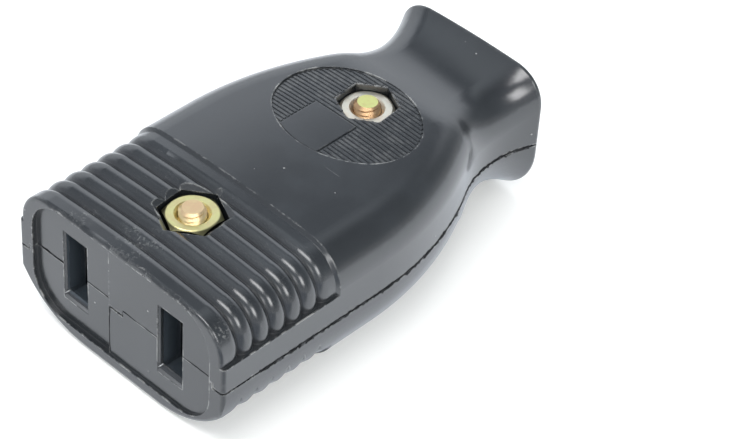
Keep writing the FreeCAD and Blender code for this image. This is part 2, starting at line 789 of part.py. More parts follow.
def make_lower_shell():
    body = shell_form("lower_shell", -1)
    over = dim["overrun"]
    rim = sketch_on(body, "rim", "XY_Plane")
    side = dim["half_width"] + over
    box(rim, -side, -over * 2, side, dim["body_length"] + over)
    inset = dim["rim_width"] + dim["tongue_clearance"]
    plan_outline(rim, inset, -over, dim["body_length"] - inset)
    pocket(body, rim, dim["skirt_drop"])

    field = sketch_on(body, "field", "XZ_Plane")
    x, z, bend = dim["field_x"], dim["field_z"], dim["field_radius"]
    trace(field, (x, over), [
        line(-x, over), line(-x, bend - z), arc(bend - x, -z, bend, 1),
        line(x - bend, -z), arc(x, bend - z, bend, 1), line(x, over),
    ])
    pocket(body, field, dim["field_depth"])
    deep_pane = sketch_on(body, "deep_pane", "XZ_Plane")
    trace(deep_pane, (-dim["bar_left"], over), [
        line(-x, over), line(-x, bend - z), arc(bend - x, -z, bend, 1),
        line(-dim["bar_left"], -z), line(-dim["bar_left"], over),
    ])
    pocket(body, deep_pane, dim["field_depth"] + dim["pane_step"])
    notch = sketch_on(body, "notch", "XZ_Plane")
    gap = dim["tongue_clearance"]
    box(notch, -dim["bar_left"] - gap, -dim["skirt_drop"], dim["bar_right"] + gap, over)
    pocket(body, notch, dim["rim_width"] + gap)

    cut_slots_and_chambers(body, -1)
    cut_bay(body, -1, dim["tab_level"])
    cut_cord_passage(body)
    cut_screw_holes(body, -1)

    heads = sketch_on(body, "head_recesses", "XY_Plane", dim["head_seat"])
    for y in (dim["front_screw_y"], dim["rear_screw_y"]):
        ring(heads, nil, y, dim["head_diameter"] / 2 + dim["head_clearance"])
    pocket(body, heads, dim["head_recess"] + over)
    wells = sketch_on(body, "terminal_wells", "XY_Plane", -dim["tab_level"])
    for side in (-1, 1):
        ring(wells, dim["terminal_x"] * side, dim["terminal_y"],
             dim["burr_radius"] + dim["contact_clearance"])
    pocket(body, wells, dim["contact_clearance"] - dim["terminal_tip"] - dim["tab_level"])
    set_down(body)
    return body


def make_screw(label, radius, head, head_height, seat, tip, x, y):
    """Slotted screw turned about its own axis; it points up if the tip lies above the seat."""
    up = 1 if tip.value > seat.value else -1
    body = new_body(label)
    top = seat - head_height * up
    bevel = dim["head_chamfer"]
    point = dim["screw_chamfer"]
    section = sketch_on(body, "section", "XZ_Plane")
    trace(section, (nil, top), [
        line(head - bevel, top),
        line(head, top + bevel * up),
        line(head, seat),
        line(radius, seat),
        line(radius, tip - point * up),
        line(radius - point, tip),
        line(nil, tip),
        line(nil, top),
    ])
    turned(body, "Revolution", section, "V_Axis", True)
    drive = sketch_on(body, "drive", "XY_Plane", top)
    half = dim["drive_width"] / 2
    box(drive, -head - dim["overrun"], -half, head + dim["overrun"], half)
    pocket(body, drive, dim["drive_depth"], along=up > 0)
    set_down(body, x, y)
    return body


def make_nut(label, y):
    """Hexagon nut with both face corners turned off at the top and a countersunk thread hole."""
    body = new_body(label)
    top = dim["nut_top"]
    blank = sketch_on(body, "blank", "XY_Plane", dim["nut_floor"])
    hexagon(blank, nil, dim["nut_width"])
    ring(blank, nil, nil, dim["nut_hole"])
    pad(body, blank, dim["nut_height"])
    corners = sketch_on(body, "corners", "XZ_Plane")
    flat = dim["nut_width"] / 2 - dim["nut_face"]
    out = dim["nut_width"] / math.sqrt(3) + dim["nut_face"]
    fall = (out - flat) * sine(dim["nut_slope"]) / cosine(dim["nut_slope"])
    trace(corners, (flat, top), [line(out, top - fall), line(out, top), line(flat, top)])
    turned(body, "Groove", corners, "V_Axis", False)
    high = top.value - near
    hole = dim["nut_hole"].value * 2
    blend(body, "Chamfer", "countersink", dim["nut_sink"],
          lambda b: b.ZMin > high and b.XLength < hole + near)
    set_down(body, nil, y)
    return body


def make_contact(label, side):
    """Folded blade receiver: two sprung leaves, flared lips, and a tab for the terminal screw."""
    body = new_body(label)
    middle = dim["slot_x"]
    inner = dim["blade_gap"] / 2
    outer = dim["contact_half"]
    lip = dim["lead_in"]
    front = dim["contact_front"]
    throat = front + dim["lead_length"]
    bend = dim["bend_y"]

    def at(x):
        return (middle + x) * side

    leaves = sketch_on(body, "leaves", "XY_Plane", -dim["cavity"])
    trace(leaves, (at(inner + lip), front), [
        line(at(inner), throat),
        line(at(inner), bend),
        arc(at(nil), bend + inner, inner, side),
        arc(at(-inner), bend, inner, side),
        line(at(-inner), throat),
        line(at(-inner - lip), front),
        line(at(-outer - lip), front),
        line(at(-outer), throat),
        line(at(-outer), bend),
        arc(at(nil), bend + outer, outer, -side),
        arc(at(outer), bend, outer, -side),
        line(at(outer), throat),
        line(at(outer + lip), front),
        line(at(inner + lip), front),
    ])
    pad(body, leaves, dim["cavity"] * 2 - dim["contact_clearance"])

    root_y = dim["contact_back"] - dim["strip"] / 2
    wide_y = dim["chamber_end"] + dim["contact_clearance"]
    tab = sketch_on(body, "tab", "XY_Plane", -dim["tab_level"])
    trace(tab, (at(-outer), root_y), [
        line(at(outer), root_y),
        line(at(outer), wide_y),
        line(dim["tab_outer"] * side, wide_y),
        line(dim["tab_outer"] * side, dim["tab_end"]),
        line(dim["tab_inner"] * side, dim["tab_end"]),
        line(dim["tab_inner"] * side, wide_y),
        line(at(-outer), wide_y),
        line(at(-outer), root_y),
    ])
    pad(body, tab, dim["strip"])
    burr = sketch_on(body, "burr", "XY_Plane", -dim["tab_level"])
    ring(burr, dim["terminal_x"] * side, dim["terminal_y"], dim["burr_radius"])
    pad(body, burr, dim["burr_height"], back=True)
    hole = sketch_on(body, "hole", "XY_Plane", dim["tab_top"])
    ring(hole, dim["terminal_x"] * side, dim["terminal_y"],
         dim["terminal_diameter"] / 2 + dim["thread_clearance"])
    pocket(body, hole, dim["strip"] + dim["burr_height"])
    set_down(body)
    return body


def make_washer(label, side):
    body = new_body(label)
    face = sketch_on(body, "face", "XY_Plane", dim["tab_top"])
    ring(face, nil, nil, dim["washer_diameter"] / 2)
    ring(face, nil, nil, dim["terminal_diameter"] / 2 + dim["screw_clearance"])
    pad(body, face, dim["washer_height"])
    set_down(body, dim["terminal_x"] * side, dim["terminal_y"])
    return body


pieces = [make_upper_shell(), make_lower_shell()]
for place_name, y in (("front", dim["front_screw_y"]), ("rear", dim["rear_screw_y"])):
    pieces.append(make_screw(
        f"housing_screw_{place_name}", dim["screw_diameter"] / 2, dim["head_diameter"] / 2,
        dim["head_height"], dim["head_seat"], dim["screw_tip"], nil, y))
    pieces.append(make_nut(f"hex_nut_{place_name}", y))
for place_name, side in (("left", -1), ("right", 1)):
    pieces.append(make_contact(f"contact_{place_name}", side))
    pieces.append(make_washer(f"clamp_washer_{place_name}", side))
    pieces.append(make_screw(
        f"terminal_screw_{place_name}", dim["terminal_diameter"] / 2, dim["terminal_head"] / 2,
        dim["terminal_head_height"], dim["washer_top"], dim["terminal_tip"],
        dim["terminal_x"] * side, dim["terminal_y"]))
doc.recompute()

failed = [item.Name for item in doc.Objects if "Invalid" in item.State or "Error" in item.State]
failed += [piece.Label for piece in pieces if piece.Shape.isNull() or not piece.Shape.isValid()]
if failed:
    raise RuntimeError(f"not built: {failed}")
os.makedirs("parts", exist_ok=True)
for piece in pieces:
    piece.Shape.exportStep(f"parts/{piece.Label}.step")
    print(piece.Label, round(piece.Shape.Volume, 2), "cubic mm,", len(piece.Shape.Solids), "solid")
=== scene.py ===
import bmesh
import bpy
import math
from mathutils import Matrix, Vector, noise


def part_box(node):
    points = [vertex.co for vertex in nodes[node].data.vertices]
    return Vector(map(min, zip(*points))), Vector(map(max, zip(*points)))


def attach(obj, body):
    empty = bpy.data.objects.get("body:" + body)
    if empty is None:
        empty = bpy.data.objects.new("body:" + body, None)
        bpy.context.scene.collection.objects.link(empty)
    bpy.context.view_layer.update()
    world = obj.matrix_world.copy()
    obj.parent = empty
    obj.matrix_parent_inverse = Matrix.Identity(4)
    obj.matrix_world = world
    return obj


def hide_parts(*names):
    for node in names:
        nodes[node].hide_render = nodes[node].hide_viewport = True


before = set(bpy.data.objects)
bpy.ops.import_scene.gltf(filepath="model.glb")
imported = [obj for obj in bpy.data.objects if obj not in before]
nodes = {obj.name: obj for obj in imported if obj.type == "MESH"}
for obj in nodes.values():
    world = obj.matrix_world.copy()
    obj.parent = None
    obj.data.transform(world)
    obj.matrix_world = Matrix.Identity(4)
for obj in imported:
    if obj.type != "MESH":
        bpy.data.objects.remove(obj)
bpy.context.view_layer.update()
mm = 0.001
print("frame loaded,", len(nodes), "nodes")


# shader maths as plain Python: a Link wraps one socket, arithmetic on it adds Math nodes
class Link:
    def __init__(self, bench, socket):
        self.bench = bench
        self.socket = socket

    def math(self, operation, a, b):
        return self.bench.node("ShaderNodeMath", {"operation": operation}, {0: a, 1: b})

    def __add__(self, other):
        return self.math("ADD", self, other)

    __radd__ = __add__

    def __mul__(self, other):
        return self.math("MULTIPLY", self, other)

    __rmul__ = __mul__

    def __sub__(self, other):
        return self.math("SUBTRACT", self, other)

    def __rsub__(self, other):
        return self.math("SUBTRACT", other, self)

    def __pow__(self, other):
        return self.math("POWER", self, other)

    def __gt__(self, other):
        return self.math("GREATER_THAN", self, other)


# a Bench fills one node tree: settings first, then the values or links of the sockets
class Bench:
    def __init__(self, tree):
        self.tree = tree
        self.tree.nodes.clear()

    def node(self, kind, settings=None, sockets=None, out=0):
        made = self.tree.nodes.new(kind)
        for key, value in (settings or {}).items():
            if key == "stops":
                ramp = made.color_ramp
                while len(ramp.elements) < len(value):
                    ramp.elements.new(1.0)
                for stop, (place, shade) in zip(ramp.elements, value):
                    stop.position = place
                    stop.color = (*shade, 1.0)
            else:
                setattr(made, key, value)
        for key, value in (sockets or {}).items():
            if isinstance(value, Link):
                self.tree.links.new(value.socket, made.inputs[key])
            else:
                made.inputs[key].default_value = value
        return Link(self, made.outputs[out]) if made.outputs else None

    def place(self):
        return self.node("ShaderNodeTexCoord", out="Object")

    def axis(self, vector, letter):
        return self.node("ShaderNodeSeparateXYZ", None, {0: vector}, letter)

    def noise(self, scale, detail, rough, vector=None):
        sockets = {"Scale": scale, "Detail": detail, "Roughness": rough, "Vector": vector or self.place()}
        return self.node("ShaderNodeTexNoise", None, sockets)

    def span(self, value, low, high, first=0.0, last=1.0):
        sockets = {0: value, 1: low, 2: high, 3: first, 4: last}
        return self.node("ShaderNodeMapRange", {"interpolation_type": "SMOOTHSTEP"}, sockets)

    def blend(self, factor, first, second):
        sockets = {0: factor, 6: first, 7: second}
        return self.node("ShaderNodeMix", {"data_type": "RGBA"}, sockets, 2)

    # share of open room within reach: outside it finds crevices, inside it finds thin edges
    def room(self, reach, inside):
        settings = {"samples": 6, "inside": inside, "only_local": True}
        return self.node("ShaderNodeAmbientOcclusion", settings, {"Distance": reach}, "AO")

    def bump(self, height, strength, distance, normal=None):
        sockets = {"Height": height, "Strength": strength, "Distance": distance}
        if normal is not None:
            sockets["Normal"] = normal
        return self.node("ShaderNodeBump", None, sockets)


def startFinish(name):
    material = bpy.data.materials.new(name)
    material.use_nodes = True
    return material, Bench(material.node_tree)


def endFinish(bench, sockets):
    surface = bench.node("ShaderNodeBsdfPrincipled", None, sockets)
    bench.node("ShaderNodeOutputMaterial", None, {"Surface": surface})


# black moulding, faintly grained, with worn edges, dull crevices, dust and fine scuffs
# a noise is given by its scale, detail and roughness, a span by where it starts and ends
moulding = {
    "black": (0.016, 0.018, 0.020, 1.0),
    "bloom": (0.022, 0.025, 0.028, 1.0),
    "dust": (0.42, 0.42, 0.40, 1.0),
    "specular": 1.0,
    "cloud": (160.0, 3.0, 0.55),
    "bloomSpan": (0.42, 0.72),
    "grain": (2600.0, 3.0, 0.6),
    "grainBump": (0.25, 0.012 * mm),  # strength and distance
    "edge": {"samples": 4, "radius": 0.10 * mm},
    "rough": {"base": 0.13, "cloud": 0.10, "grain": 0.06, "mark": 0.3, "crevice": 0.30},
    "speck": {"cells": 560.0, "span": (0.035, 0.07), "chance": 0.86, "strength": 0.7},
    "scuff": {
        "stretch": (120.0, 2400.0, 900.0),
        "noise": (1.0, 3.0, 0.6),
        "span": (0.70, 0.78),
        "cloudSpan": (0.45, 0.65),
        "strength": 0.12,
    },
    "wear": {
        "reach": 0.16 * mm,
        "span": (0.78, 0.93),
        "noise": (700.0, 4.0, 0.65),
        "noiseSpan": (0.43, 0.65),
    },
    "scrape": {
        "noise": (3400.0, 3.0, 0.6),
        "span": (0.48, 0.64),
        "patch": (800.0, 2.0, 0.5),
        "patchSpan": (0.40, 0.62),
        "strength": 0.55,
        "places": [((0.1, -20.6, 14.6), 3.2), ((-6.0, -21.4, 14.4), 2.0), ((11.9, -21.9, 13.5), 1.4)],
    },
    "crevice": {"reach": 0.8 * mm, "span": (0.35, 0.85)},
}


# one small spot in a few of the cells
def specks(bench):
    speck = moulding["speck"]
    cells = {"Vector": bench.place(), "Scale": speck["cells"]}
    spot = bench.node("ShaderNodeTexVoronoi", None, cells, "Distance")
    lot = bench.node("ShaderNodeTexVoronoi", None, cells, "Color")
    chance = bench.node("ShaderNodeSeparateColor", None, {0: lot})
    return bench.span(spot, *speck["span"], 1.0, 0.0) * (chance > speck["chance"])


# thin streaks along X
def scuffs(bench, cloud):
    scuff = moulding["scuff"]
    stretch = bench.node("ShaderNodeMapping", None, {"Vector": bench.place(), "Scale": scuff["stretch"]})
    streak = bench.noise(*scuff["noise"], stretch)
    return bench.span(streak, *scuff["span"]) * bench.span(cloud, *scuff["cloudSpan"])


# broken pale lines along the sharp edges, and a few rubbed places near the blade face
def rubbing(bench):
    wear, scrape = moulding["wear"], moulding["scrape"]
    rub = bench.span(bench.room(wear["reach"], True), *wear["span"], 1.0, 0.0)
    rubbed = rub * bench.span(bench.noise(*wear["noise"]), *wear["noiseSpan"])
    torn = bench.span(bench.noise(*scrape["noise"]), *scrape["span"])
    torn = torn * bench.span(bench.noise(*scrape["patch"]), *scrape["patchSpan"])
    for place, reach in scrape["places"]:
        ends = {0: bench.place(), 1: Vector(place) * mm}
        away = bench.node("ShaderNodeVectorMath", {"operation": "DISTANCE"}, ends, "Value")
        rubbed = rubbed + scrape["strength"] * torn * bench.span(away, 0.0, reach * mm, 1.0, 0.0)
    return rubbed


def mouldingFinish(name, worn, deep=None):
    material, bench = startFinish(name)
    cloud = bench.noise(*moulding["cloud"])
    grain = bench.noise(*moulding["grain"])
    black = bench.blend(bench.span(cloud, *moulding["bloomSpan"]), moulding["black"], moulding["bloom"])
    # painted light: past a given depth in the slot guide the colour turns paler, standing in for light
    # reaching inside the slot
    if deep:
        inward = bench.axis(bench.place(), "Y")
        black = bench.blend(bench.span(inward, *deep["from"]), black, deep["shade"])
    mark = specks(bench) * moulding["speck"]["strength"]
    mark = mark + scuffs(bench, cloud) * moulding["scuff"]["strength"] + rubbing(bench) * worn
    hollow = moulding["crevice"]
    crevice = bench.span(bench.room(hollow["reach"], False), *hollow["span"], 1.0, 0.0)
    edge = moulding["edge"]
    rounded = bench.node("ShaderNodeBevel", {"samples": edge["samples"]}, {"Radius": edge["radius"]})
    rough = moulding["rough"]
    roughness = rough["base"] + rough["cloud"] * cloud + rough["grain"] * grain
    roughness = roughness + rough["mark"] * mark + rough["crevice"] * crevice
    endFinish(bench, {
        "Base Color": bench.blend(mark, black, moulding["dust"]),
        "Roughness": roughness,
        "Specular IOR Level": moulding["specular"],
        "Normal": bench.bump(grain, *moulding["grainBump"], rounded),
    })
    return material


# dull patchy matter: dirt held in the joint lines, which also gives a painted shade line at the step of the
# blade face, and pale torn moulding whose colour is a painted highlight
grime = {"cloud": (1500.0, 2.0, 0.5), "span": (0.40, 0.70), "rough": 0.7, "cloudRough": 0.2, "specular": 0.1}


def grimeFinish(name, dark, light):
    material, bench = startFinish(name)
    cloud = bench.noise(*grime["cloud"])
    endFinish(bench, {
        "Base Color": bench.blend(bench.span(cloud, *grime["span"]), dark, light),
        "Roughness": grime["rough"] + grime["cloudRough"] * cloud,
        "Specular IOR Level": grime["specular"],
    })
    return material


# plated or bare metal with fine marks and a little tarnish; flanks may take a painted shade colour and
# hexagon corners a painted dark shade
metal = {
    "cloud": (900.0, 3.0, 0.6),
    "tarnishSpan": (0.38, 0.68),
    "cloudRough": 0.14,
    "fine": (6000.0, 2.0, 0.5),
    "fineRough": 0.08,
    "fineBump": (0.3, 0.01 * mm),
    "upward": (0.84, 0.97),
}


def metalFinish(name, bright, tarnish, rough, flank=None, corner=None):
    material, bench = startFinish(name)
    cloud = bench.noise(*metal["cloud"])
    fine = bench.noise(*metal["fine"])
    plate = bench.blend(bench.span(cloud, *metal["tarnishSpan"]), bright, tarnish)
    facing = bench.node("ShaderNodeNewGeometry", out="Normal")
    upward = bench.span(bench.axis(facing, "Z"), *metal["upward"])
    # painted shade: faces that do not point up take a darker, warmer flank colour
    if flank:
        plate = bench.blend(upward, flank, plate)
    # painted shade: hexagon corners that do not face straight up are painted dark, as the shade they sit in
    if corner:
        low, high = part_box(corner["node"])
        ends = {0: bench.place(), 1: (low + high) / 2}
        away = bench.node("ShaderNodeVectorMath", {"operation": "SUBTRACT"}, ends)
        x = bench.axis(away, "X")
        y = bench.axis(away, "Y")
        reach = (x * x + y * y) ** 0.5
        shaded = bench.span(reach, *corner["from"]) * (1.0 - upward)
        plate = bench.blend(shaded, plate, corner["shade"])
    endFinish(bench, {
        "Base Color": plate,
        "Metallic": 1.0,
        "Roughness": rough + metal["cloudRough"] * cloud + metal["fineRough"] * fine,
        "Normal": bench.bump(fine, *metal["fineBump"]),
    })
    return material


mouldings = {
    "shell": {"name": "blackMoulding", "worn": 0.65},
    "trim": {"name": "blackTrim", "worn": 0.1},
    "guide": {
        "name": "dustyGuide",
        "worn": 0.1,
        # painted light: paler colour deeper in the slot guide, standing in for light inside the slot
        "deep": {"from": (-22.15 * mm, -21.95 * mm), "shade": (0.052, 0.064, 0.076, 1.0)},
    },
}
grimes = {
    # dirt in the joints, also used for the painted shade line at the step between the blade panes
    "grime": {"name": "seamGrime", "dark": (0.006, 0.006, 0.007, 1.0), "light": (0.03, 0.03, 0.032, 1.0)},
    # pale torn moulding: the pale colour is a painted highlight
    "burr": {"name": "tornMoulding", "dark": (0.45, 0.46, 0.46, 1.0), "light": (0.78, 0.79, 0.79, 1.0)},
}
metals = {
    "screwFront": {
        "name": "copperyZinc",
        "bright": (0.97, 0.77, 0.43, 1.0),
        "tarnish": (0.90, 0.64, 0.38, 1.0),
        "rough": 0.30,
    },
    "screwRear": {
        "name": "greenishZinc",
        "bright": (0.86, 0.87, 0.35, 1.0),
        "tarnish": (0.80, 0.74, 0.31, 1.0),
        "rough": 0.30,
        # painted shade on the thread flanks
        "flank": (0.62, 0.40, 0.22, 1.0),
    },
    "nutFront": {
        "name": "yellowZinc",
        "bright": (0.92, 0.87, 0.42, 1.0),
        "tarnish": (0.86, 0.74, 0.38, 1.0),
        "rough": 0.26,
        # painted shade on the hexagon's corners
        "corner": {
            "node": "hex_nut_front",
            "from": (2.36 * mm, 2.50 * mm),
            "shade": (0.05, 0.045, 0.03, 1.0),
        },
    },
    "nutRear": {
        "name": "paleZinc",
        "bright": (0.95, 0.90, 0.76, 1.0),
        "tarnish": (0.90, 0.79, 0.64, 1.0),
        "rough": 0.28,
        # painted shade on the hexagon's corners
        "corner": {
            "node": "hex_nut_rear",
            "from": (2.50 * mm, 2.70 * mm),
            "shade": (0.08, 0.07, 0.05, 1.0),
        },
    },
    # painted shade: brass darkened for the shade deep inside the slots
    "contact": {
        "name": "brassStrip",
        "bright": (0.30, 0.27, 0.20, 1.0),
        "tarnish": (0.19, 0.18, 0.16, 1.0),
        "rough": 0.5,
    },
    "terminal": {
        "name": "brightZinc",
        "bright": (0.72, 0.73, 0.74, 1.0),
        "tarnish": (0.58, 0.58, 0.58, 1.0),
        "rough": 0.26,
    },
}
finishes = {}
for makeFinish, group in ((mouldingFinish, mouldings), (grimeFinish, grimes), (metalFinish, metals)):
    for key, settings in group.items():
        finishes[key] = makeFinish(**settings)

nodeFinishes = {
    "upper_shell": "shell",
    "lower_shell": "shell",
    "housing_screw_front": "screwFront",
    "housing_screw_rear": "screwRear",
    "hex_nut_front": "nutFront",
    "hex_nut_rear": "nutRear",
    "contact_left": "contact",
    "contact_right": "contact",
    "clamp_washer_left": "terminal",
    "clamp_washer_right": "terminal",
    "terminal_screw_left": "terminal",
    "terminal_screw_right": "terminal",
}
for nodeName, key in nodeFinishes.items():
    nodes[nodeName].data.materials.clear()
    nodes[nodeName].data.materials.append(finishes[key])
print("finishes given to the nodes")

# distance at which points count as one, in millimetres
mergeWithin = 0.001


def toMetres(shape):
    bmesh.ops.scale(shape, vec=(mm, mm, mm), verts=shape.verts)


def sliceAt(shape, point, normal, **clear):
    geom = shape.verts[:] + shape.edges[:] + shape.faces[:]
    bmesh.ops.bisect_plane(shape, geom=geom, plane_co=point, plane_no=normal, **clear)


def fillHoles(shape):
    rim = [edge for edge in shape.edges if edge.is_boundary]
    bmesh.ops.holes_fill(shape, edges=rim, sides=0)


def vertsOf(grown):
    return [item for item in grown["geom"] if isinstance(item, bmesh.types.BMVert)]


def shadeSmooth(shape, crease):
    for face in shape.faces:
        face.smooth = True
    for edge in shape.edges:
        edge.smooth = len(edge.link_faces) == 2 and edge.calc_face_angle() < math.radians(crease)


def makePiece(name, shape, finish, replaced=None):
    mesh = bpy.data.meshes.new(name)
    shape.to_mesh(mesh)
    shape.free()
    mesh.materials.append(finish)
    piece = bpy.data.objects.new(name, mesh)
    bpy.context.scene.collection.objects.link(piece)
    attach(piece, "root")
    if replaced:
        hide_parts(replaced)
    print("made", name, len(mesh.polygons), "faces")


# fine ridges over the floor of the oval medallion, round a plain plate, in millimetres
ridges = {
    "centre": 5.35,
    "halfWidth": 7.65,
    "halfLength": 6.25,
    "margin": 0.1,
    "top": 15.2,
    "depth": 0.2,
    "crown": 135.0,
    "pitch": 0.46,
    "width": 0.29,
    "height": 0.08,
    "shortest": 0.3,
    "sunk": 0.03,
    "soft": 0.06,
    "softSegments": 2,
    "sharp": 0.5,  # radians between two faces
    "bends": 5,  # cuts each side of the middle, so that a ridge follows the crown
    "bendStep": 1.3,
    "plate": (-3.28, 1.9, 4.58),  # left, right and far side
    "plateHeight": 0.14,
    "plateSteps": 16,
    "pocketCentre": 8.05,
    "pocketCorner": 3.15,
    "pocketTurn": 35.0,
    "pocketSides": 6,
}


def ovalReach(off, along, across):
    return across * math.sqrt(max(0.0, 1.0 - (off / along) ** 2)) - ridges["margin"]


def pocketCorners():
    sides, reach = ridges["pocketSides"], ridges["pocketCorner"]
    turns = [math.radians(ridges["pocketTurn"] + 360.0 / sides * step) for step in range(sides + 1)]
    return [(reach * math.cos(turn), ridges["pocketCentre"] + reach * math.sin(turn)) for turn in turns]


# where a line at this value of one axis meets the nut's pocket, on the other axis
def crossings(value, axis):
    found = []
    corners = pocketCorners()
    for first, second in zip(corners, corners[1:]):
        if (first[axis] - value) * (second[axis] - value) < 0:
            share = (value - first[axis]) / (second[axis] - first[axis])
            found.append(first[1 - axis] + (second[1 - axis] - first[1 - axis]) * share)
    return found


def plateFar(x):
    return min([ridges["plate"][2]] + [y - ridges["margin"] for y in crossings(x, 0)])


def plateNear(x):
    return ridges["centre"] - ovalReach(x, ridges["halfWidth"], ridges["halfLength"])


# stretches of the ridge at y that are clear of the plate and the pocket
def ridgeRuns(y):
    reach = ovalReach(y - ridges["centre"], ridges["halfLength"], ridges["halfWidth"])
    left, right, far = ridges["plate"]
    gap = ridges["pitch"] - ridges["width"]
    bare = [(left - gap, right + gap)] if y < far + gap else []
    sides = crossings(y, 1)
    if sides:
        bare.append((min(sides), max(sides)))
    runs = [(-reach, reach)]
    for low, high in bare:
        cut = []
        for start, end in runs:
            cut += [(start, min(end, low)), (max(start, high), end)]
        runs = cut
    return [(start, end) for start, end in runs if end - start > ridges["shortest"]]


def followCrown(shape):
    crown = ridges["crown"] - ridges["depth"]
    for vert in shape.verts:
        vert.co.z += ridges["top"] - ridges["depth"] - crown + math.sqrt(crown ** 2 - vert.co.x ** 2)
    toMetres(shape)


def softenTop(shape):
    sharp = [edge for edge in shape.edges if edge.calc_face_angle() > ridges["sharp"]]
    upper = [edge for edge in sharp if min(vert.co.z for vert in edge.verts) > 0.0]
    bmesh.ops.bevel(shape, geom=upper, offset=ridges["soft"], offset_type="OFFSET", affect="EDGES",
                    segments=ridges["softSegments"], profile=0.5, material=-1)


def makeRidges():
    shape = bmesh.new()
    tall = ridges["height"] + ridges["sunk"]
    count = int(ridges["halfLength"] / ridges["pitch"])
    for step in range(-count, count + 1):
        y = ridges["centre"] + step * ridges["pitch"]
        for start, end in ridgeRuns(y):
            size = Matrix.Diagonal((end - start, ridges["width"], tall, 1.0))
            place = Matrix.Translation(((start + end) / 2, y, ridges["height"] - tall / 2))
            bmesh.ops.create_cube(shape, size=1.0, matrix=place @ size)
    softenTop(shape)
    for step in range(-ridges["bends"], ridges["bends"] + 1):
        sliceAt(shape, (step * ridges["bendStep"], 0, 0), (1, 0, 0))
    followCrown(shape)
    makePiece("medallionRidges", shape, finishes["trim"])


def makePlate():
    shape = bmesh.new()
    left, right = ridges["plate"][:2]
    low = -ridges["sunk"]
    bmesh.ops.create_grid(shape, x_segments=ridges["plateSteps"], y_segments=1, size=0.5)
    for vert in shape.verts:
        x = left + (right - left) * (vert.co.x + 0.5)
        vert.co = (x, plateNear(x) if vert.co.y < 0 else plateFar(x), low)
    grown = bmesh.ops.extrude_face_region(shape, geom=shape.faces[:])
    bmesh.ops.translate(shape, vec=(0, 0, ridges["plateHeight"] - low), verts=vertsOf(grown))
    bmesh.ops.recalc_face_normals(shape, faces=shape.faces)
    softenTop(shape)
    followCrown(shape)
    makePiece("medallionPlate", shape, finishes["trim"])


makeRidges()
makePlate()


# threaded end of each housing screw, above the middle of its nut, in millimetres
thread = {
    "outer": 1.3,
    "inner": 1.07,
    "pitch": 0.45,
    "turns": 8,
    "turnsBelow": 2,  # turns that start under the foot and are cut off there
    "steps": 40,
    "foot": 12.9,
    "taper": 0.32,
    "end": 0.98,
    "sliver": 0.006,
    "crease": 30.0,
}


def makeThread(top):
    shape = bmesh.new()
    # helix: a zigzag profile turned once while it climbs by one pitch
    start = thread["foot"] - thread["pitch"] * thread["turnsBelow"]
    profile = []
    for step in range(thread["turns"] * 2 + 1):
        radius = thread["outer"] if step % 2 else thread["inner"]
        profile.append(shape.verts.new((radius, 0, start + step * thread["pitch"] / 2)))
    edges = [shape.edges.new(pair) for pair in zip(profile, profile[1:])]
    bmesh.ops.spin(shape, geom=profile + edges, cent=(0, 0, 0), axis=(0, 0, 1),
                   dvec=(0, 0, thread["pitch"] / thread["steps"]), angle=math.tau, steps=thread["steps"])
    bmesh.ops.remove_doubles(shape, verts=shape.verts, dist=mergeWithin)
    for level, normal in ((thread["foot"], -1), (top, 1)):
        sliceAt(shape, (0, 0, level), (0, 0, normal), clear_outer=True)
    # tapered tip
    for vert in shape.verts:
        rise = (vert.co.z - (top - thread["taper"])) / thread["taper"]
        if rise > 0:
            limit = thread["outer"] + (thread["end"] - thread["outer"]) * rise
            radius = math.hypot(vert.co.x, vert.co.y)
            if radius > limit:
                vert.co.x *= limit / radius
                vert.co.y *= limit / radius
    bmesh.ops.dissolve_degenerate(shape, dist=thread["sliver"], edges=shape.edges)
    fillHoles(shape)
    bmesh.ops.recalc_face_normals(shape, faces=shape.faces)
    return shape


def makeThreadedScrew(name, node, finish):
    low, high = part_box(node)
    middle = (low + high) / 2 / mm
    shape = makeThread(high.z / mm)
    bmesh.ops.translate(shape, vec=(middle.x, middle.y, 0), verts=shape.verts)
    toMetres(shape)
    # shank and head below it
    below = bmesh.new()
    below.from_mesh(nodes[node].data)
    bmesh.ops.remove_doubles(below, verts=below.verts, dist=mergeWithin * mm)
    sliceAt(below, (0, 0, thread["foot"] * mm), (0, 0, 1), clear_outer=True)
    fillHoles(below)
    spare = bpy.data.meshes.new("spare")
    below.to_mesh(spare)
    below.free()
    shape.from_mesh(spare)
    bpy.data.meshes.remove(spare)
    shadeSmooth(shape, thread["crease"])
    makePiece(name, shape, finish, node)


makeThreadedScrew("frontScrewThreaded", "housing_screw_front", finishes["screwFront"])
makeThreadedScrew("rearScrewThreaded", "housing_screw_rear", finishes["screwRear"])


# ragged flash and packed dirt along both sides of the parting line, in millimetres
flash = {
    "outlineAt": 8.3,
    "ends": (-22.0, 22.2),
    "step": 0.13,
    "root": 0.05,
    "thick": 0.03,
    "tear": {"base": 0.15, "coarse": 1.1, "fine": 0.7, "finer": 2.7, "fineSeed": 5.0},
    "fins": {
        "upperFlash": {"level": 7.55, "tip": 7.45, "hang": -0.20, "reach": 0.16, "grain": 1.6, "seed": 3.0},
        "lowerFlash": {"level": 7.20, "tip": 7.22, "hang": -0.10, "reach": 0.17, "grain": 2.3, "seed": 11.0},
    },
    "dirt": {
        "proud": 0.012,
        "upper": 7.49,
        "rise": 0.13,
        "upperSeed": 16.0,
        "lower": 7.31,
        "fall": 0.32,
        "lowerSeed": 7.0,
        "grain": 2.4,
    },
}


